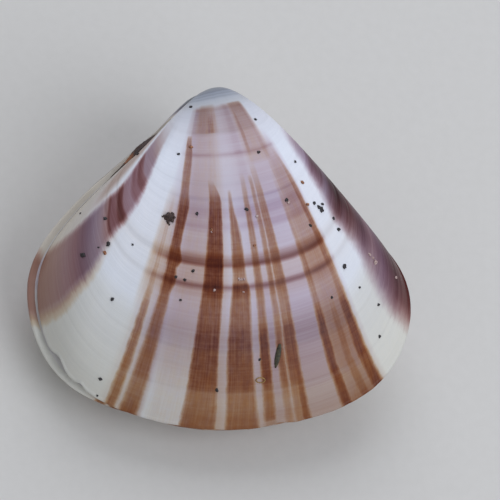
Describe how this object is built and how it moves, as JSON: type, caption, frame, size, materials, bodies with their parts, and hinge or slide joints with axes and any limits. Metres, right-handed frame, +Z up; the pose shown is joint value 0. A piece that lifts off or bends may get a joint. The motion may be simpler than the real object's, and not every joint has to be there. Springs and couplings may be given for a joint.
{
  "type": "venus clam shell",
  "caption": "Closed clam shell with two rounded triangular valves and a dark ligament behind the beaks, lying on one valve",
  "frame": {"origin": "On the surface that the shell lies on, under the middle of its box", "axes": "+Z up out of the right valve, +X along the shell's length towards its front end, +Y towards the hinge and the beaks"},
  "size_m": [0.0422, 0.0376, 0.0203],
  "materials": {
    "right_valve": "glossy porcelain-like shell, white with brown rays and growth bands",
    "left_valve": "glossy porcelain-like shell, white with brown rays and growth bands",
    "ligament": "dark brown horny band, half matt"
  },
  "bodies": {
    "root": {"right_valve": "right_valve", "left_valve": "left_valve", "ligament": "ligament"}
  },
  "joints": []
}
